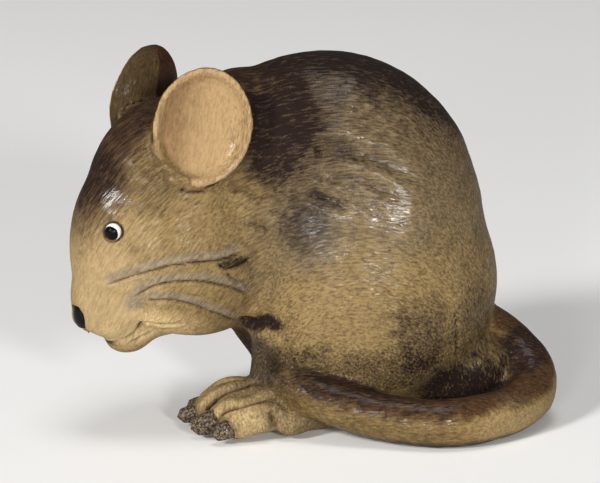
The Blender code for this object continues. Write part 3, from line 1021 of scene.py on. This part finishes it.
woodLook = {
    "stroke": (0.3, 1.2),  # mm across and along a knife stroke
    "stipple": 0.27,  # mm between pores, coarser than lime's own
    "blotch": 1.6,  # mm between the places that took more stain
    "fine": 0.35,  # how strong the pores and the blotches are, each against the strokes
    "detail": 3.0,
    "grit": 0.6,
    "umber": "1D110D",
    "bite": (1.12, 1.6),  # how the dark stain fills: by its dusk, and by the strokes
    "lightest": (1.3, 1.3, 1.28),  # what the flecks multiply the stain by, at either end
    "darkest": (0.72, 0.68, 0.62),
    "contrast": 2.0,  # how soon the flecks reach those ends
    "ridge": (0.42, 1.3),  # mm across and along the ridges that the knife left
    "ridgeDetail": 0.6,
    "sunken": 0.3,  # how far the dark flecks lie below the ridges, as a share of the relief
    "relief": 0.13,  # mm of tool texture
    "roughness": 0.8,
    "specular": 0.12,
    "lacquer": 0.7,
    "lacquerIor": 1.6,
    "lacquerRoughness": 0.15,
}


def carvedWood():
    # lime wood under a knife: fine strokes with dark stain left between them, then satin lacquer,
    # which gives short broken glints over wood that looks dry
    look = woodLook
    material, tree, shader = newMaterial(
        "carved lime wood, stained and lacquered",
        {
            "Roughness": look["roughness"],
            "Specular IOR Level": look["specular"],
            "Coat IOR": look["lacquerIor"],
            "Coat Roughness": look["lacquerRoughness"],
        },
    )
    stain, dusk, rough, gloss, flow = (
        addNode(tree, "ShaderNodeAttribute", {"attribute_name": name})
        for name in ("stain", "dusk", "rough", "gloss", "flow")
    )
    cuts = []
    for (across, along), detail in ((look["stroke"], look["detail"]), (look["ridge"], look["ridgeDetail"])):
        scale = {"Scale": (1 / across, 1 / across, 1 / along)}
        run = addNode(tree, "ShaderNodeMapping", scale, {"Vector": (flow, 1)})
        settings = {"Scale": 1.0, "Detail": detail, "Roughness": look["grit"]}
        cuts.append(addNode(tree, "ShaderNodeTexNoise", settings, {"Vector": (run, 0)}))
    strokes, ridges = cuts
    place = addNode(tree, "ShaderNodeTexCoord")
    flecks = strokes
    for size in (look["stipple"], look["blotch"]):
        settings = {"Scale": 1 / (size * mm), "Detail": look["detail"], "Roughness": look["grit"]}
        finer = addNode(tree, "ShaderNodeTexNoise", settings, {"Vector": (place, "Object")})
        adding = {"operation": "MULTIPLY_ADD", 1: look["fine"]}
        flecks = addNode(tree, "ShaderNodeMath", adding, {0: (finer, 0), 2: (flecks, 0)})
    middle = 0.5 + look["fine"]  # of the three patterns together
    centred = addNode(tree, "ShaderNodeMath", {"operation": "SUBTRACT", 1: middle}, {0: (flecks, 0)})
    uneven = addNode(tree, "ShaderNodeMath", {"operation": "MULTIPLY"}, {0: (centred, 0), 1: (rough, 2)})
    byDusk, byStroke = look["bite"]
    filled = addNode(tree, "ShaderNodeMath", {"operation": "MULTIPLY", 1: byDusk}, {0: (dusk, 2)})
    filling = {"operation": "MULTIPLY_ADD", 1: byStroke, "use_clamp": True}
    share = addNode(tree, "ShaderNodeMath", filling, {0: (uneven, 0), 2: (filled, 0)})
    stretch = {"operation": "MULTIPLY_ADD", 1: look["contrast"], 2: 0.5, "use_clamp": True}
    blend = addNode(tree, "ShaderNodeMath", stretch, {0: (uneven, 0)})
    ends = {"data_type": "RGBA", 6: (*look["lightest"], 1), 7: (*look["darkest"], 1)}
    tint = addNode(tree, "ShaderNodeMix", ends, {0: (blend, 0)})
    multiply = {"data_type": "RGBA", "blend_type": "MULTIPLY", 0: 1.0}
    wood = addNode(tree, "ShaderNodeMix", multiply, {6: (stain, 0), 7: (tint, 2)})
    dark = {"data_type": "RGBA", 7: toLinear(look["umber"])}
    colour = addNode(tree, "ShaderNodeMix", dark, {0: (share, 0), 6: (wood, 2)})
    sunken = {"operation": "MULTIPLY_ADD", 1: look["sunken"]}
    carved = addNode(tree, "ShaderNodeMath", sunken, {0: (share, 0), 2: (ridges, 0)})
    height = addNode(tree, "ShaderNodeMath", {"operation": "MULTIPLY"}, {0: (carved, 0), 1: (rough, 2)})
    relief = {"invert": True, "Strength": 1.0, "Distance": look["relief"] * mm}
    bump = addNode(tree, "ShaderNodeBump", relief, {"Height": (height, 0)})
    thickness = {"operation": "MULTIPLY", 1: look["lacquer"]}
    coat = addNode(tree, "ShaderNodeMath", thickness, {0: (gloss, 2)})
    tree.links.new(colour.outputs[2], shader.inputs["Base Color"])
    tree.links.new(coat.outputs[0], shader.inputs["Coat Weight"])
    tree.links.new(bump.outputs[0], shader.inputs["Normal"])
    tree.links.new(bump.outputs[0], shader.inputs["Coat Normal"])
    return material


skin.data.materials.append(carvedWood())
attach(skin, "root")
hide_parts(*filter(isFlesh, frame["nodes"]))

paintLook = {
    "eyeWhite": "E9E7E0",
    "black": "0B0A0A",
    "pupil": 1.28,  # mm
    "pupilAim": (-0.8, 0.6, -0.2),  # which way it looks: behind, aside and up
    "brush": 0.7,  # mm between the slips of the brush, and how far they go
    "slip": 0.25,
    "edge": 0.06,  # mm over which the black fades
    "eyeGloss": 0.25,  # roughness, as is the nose's
    "noseGloss": 0.45,
    "proud": -0.05,  # mm that painted wood stands out from its node
}


def paintedEye(side):
    # gesso white with a black pupil brushed on, smooth and faintly glossy
    low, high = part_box("eye_left" if side < 0 else "eye_right")
    back, aside, up = paintLook["pupilAim"]
    aim = headFrame.to_3x3() @ Vector((back, side * aside, up)).normalized()
    spot = (low + high) / 2 + aim * (high.z - low.z) / 2
    material, tree, shader = newMaterial(
        "white and black eye paint", {"Roughness": paintLook["eyeGloss"], "Specular IOR Level": 0.08}
    )
    place = addNode(tree, "ShaderNodeTexCoord")
    distance = {"operation": "DISTANCE", 1: spot}
    away = addNode(tree, "ShaderNodeVectorMath", distance, {0: (place, "Object")})
    brush = {"Scale": 1 / (paintLook["brush"] * mm)}
    wobble = addNode(tree, "ShaderNodeTexNoise", brush, {"Vector": (place, "Object")})
    slip = {"operation": "MULTIPLY_ADD", 1: paintLook["slip"] * mm}
    edge = addNode(tree, "ShaderNodeMath", slip, {0: (wobble, 0), 2: (away, "Value")})
    radius = (paintLook["pupil"] + paintLook["slip"] / 2) * mm
    fade = {"From Min": radius, "From Max": radius + paintLook["edge"] * mm}
    mask = addNode(tree, "ShaderNodeMapRange", fade, {"Value": (edge, 0)})
    colours = {6: toLinear(paintLook["black"]), 7: toLinear(paintLook["eyeWhite"])}
    mix = addNode(tree, "ShaderNodeMix", {"data_type": "RGBA", **colours}, {0: (mask, 0)})
    tree.links.new(mix.outputs[2], shader.inputs["Base Color"])
    return material


def nosePaint():
    # black paint on bare wood, a little dull
    settings = {
        "Base Color": toLinear(paintLook["black"]),
        "Roughness": paintLook["noseGloss"],
        "Specular IOR Level": 0.12,
    }
    return newMaterial("black nose paint", settings)[0]


clawLook = {
    "stain": "251C17",
    "pale": "7A6B56",
    "grain": 0.32,  # mm between the pores of the end grain
    "taken": (0.42, 0.66),  # where the grain took all the stain, and where it took the least
    "relief": 0.1,  # mm
    "proud": 0.12,  # mm that a claw stands out from its node
}


def clawStain():
    # dark stain that took unevenly on the end grain, and looks mottled
    settings = {"Roughness": 0.55, "Specular IOR Level": 0.15, "Coat Weight": 0.04}
    material, tree, shader = newMaterial("dark claw stain", settings)
    place = addNode(tree, "ShaderNodeTexCoord")
    grain = {"Scale": 1 / (clawLook["grain"] * mm), "Detail": 2.0, "Roughness": 0.6}
    mottle = addNode(tree, "ShaderNodeTexNoise", grain, {"Vector": (place, "Object")})
    taken = {"From Min": clawLook["taken"][0], "From Max": clawLook["taken"][1]}
    mask = addNode(tree, "ShaderNodeMapRange", taken, {"Value": (mottle, 0)})
    colours = {6: toLinear(clawLook["stain"]), 7: toLinear(clawLook["pale"])}
    mix = addNode(tree, "ShaderNodeMix", {"data_type": "RGBA", **colours}, {0: (mask, 0)})
    relief = {"Strength": 0.6, "Distance": clawLook["relief"] * mm}
    bump = addNode(tree, "ShaderNodeBump", relief, {"Height": (mottle, 0)})
    tree.links.new(mix.outputs[2], shader.inputs["Base Color"])
    tree.links.new(bump.outputs[0], shader.inputs["Normal"])
    return material


def finishPiece(node, name, material, proud):
    piece = roundedCopy(frame["nodes"][node], proud)
    piece.name = piece.data.name = name
    piece.data.materials.clear()
    piece.data.materials.append(material)
    piece.data.shade_smooth()
    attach(piece, "root")
    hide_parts(node)


for side, node, name in ((-1, "eye_left", "leftEye"), (1, "eye_right", "rightEye")):
    finishPiece(node, name, paintedEye(side), paintLook["proud"])
finishPiece("nose", "noseTip", nosePaint(), paintLook["proud"])
clawMaterial = clawStain()
for node in sorted(frame["nodes"]):
    if node.startswith("claw"):
        _, side, number = node.split("_")
        finishPiece(node, f"{side}Claw{number}", clawMaterial, clawLook["proud"])
print("eyes, nose and claws made")

cameraLook = {
    "aim": (-2.32, 1.45, 25.5),  # mm, as are distance and frameWidth
    "height": 13.0,  # degrees above the floor
    "distance": 450.0,
    "frameWidth": 87.0,
    "sensorWidth": 36.0,
}


def makeCamera():
    look = cameraLook
    data = bpy.data.cameras.new("camera")
    data.sensor_width = look["sensorWidth"]
    data.lens = look["sensorWidth"] * look["distance"] / look["frameWidth"]
    data.clip_start, data.clip_end = 0.01, 50
    camera = bpy.data.objects.new("camera", data)
    rise = math.radians(look["height"])
    back = Vector((0, -math.cos(rise), math.sin(rise)))
    camera.location = (Vector(look["aim"]) + back * look["distance"]) * mm
    camera.rotation_euler = (math.pi / 2 - rise, 0, 0)
    bpy.context.scene.collection.objects.link(camera)
    bpy.context.scene.camera = camera


studioLook = {
    "floor": "FBFAF8",
    "floorSize": 6.0,  # metres from its middle to its edge
    "world": 0.13,  # how bright the white all round is
    "aim": (0, 0, 0.025),  # metres; what the lights point at
}
# place in metres, size in metres, power in watts
lights = {
    "key": ((-1.25, -1.35, 1.0), 0.4, 31.0),
    "front": ((0.52, -1.6, 0.45), 0.2, 17.0),
    "low": ((-0.33, -1.65, 0.33), 0.2, 8.0),
    "top": ((0.1, -0.2, 2.2), 1.0, 12.0),
}


def makeFloor():
    mesh = bmesh.new()
    bmesh.ops.create_grid(mesh, x_segments=1, y_segments=1, size=studioLook["floorSize"])
    floor = newPiece("floor", mesh)
    look = {"Base Color": toLinear(studioLook["floor"]), "Roughness": 0.8}
    floor.data.materials.append(newMaterial("matt white studio floor", look)[0])


def makeLight(name, place, size, power):
    data = bpy.data.lights.new(name, "AREA")
    data.shape, data.size, data.energy = "DISK", size, power
    light = bpy.data.objects.new(name, data)
    light.location = place
    away = Vector(place) - Vector(studioLook["aim"])
    light.rotation_euler = away.to_track_quat("Z", "Y").to_euler()
    bpy.context.scene.collection.objects.link(light)


def makeWorld():
    world = bpy.data.worlds.new("studio")
    bpy.context.scene.world = world
    world.use_nodes = True
    sky = world.node_tree.nodes["Background"]
    sky.inputs["Color"].default_value = (1, 1, 1, 1)
    sky.inputs["Strength"].default_value = studioLook["world"]


makeCamera()
makeFloor()
for name, settings in lights.items():
    makeLight(name, *settings)
makeWorld()
bpy.context.scene.view_settings.view_transform = "Standard"
print("camera, floor and lights set")
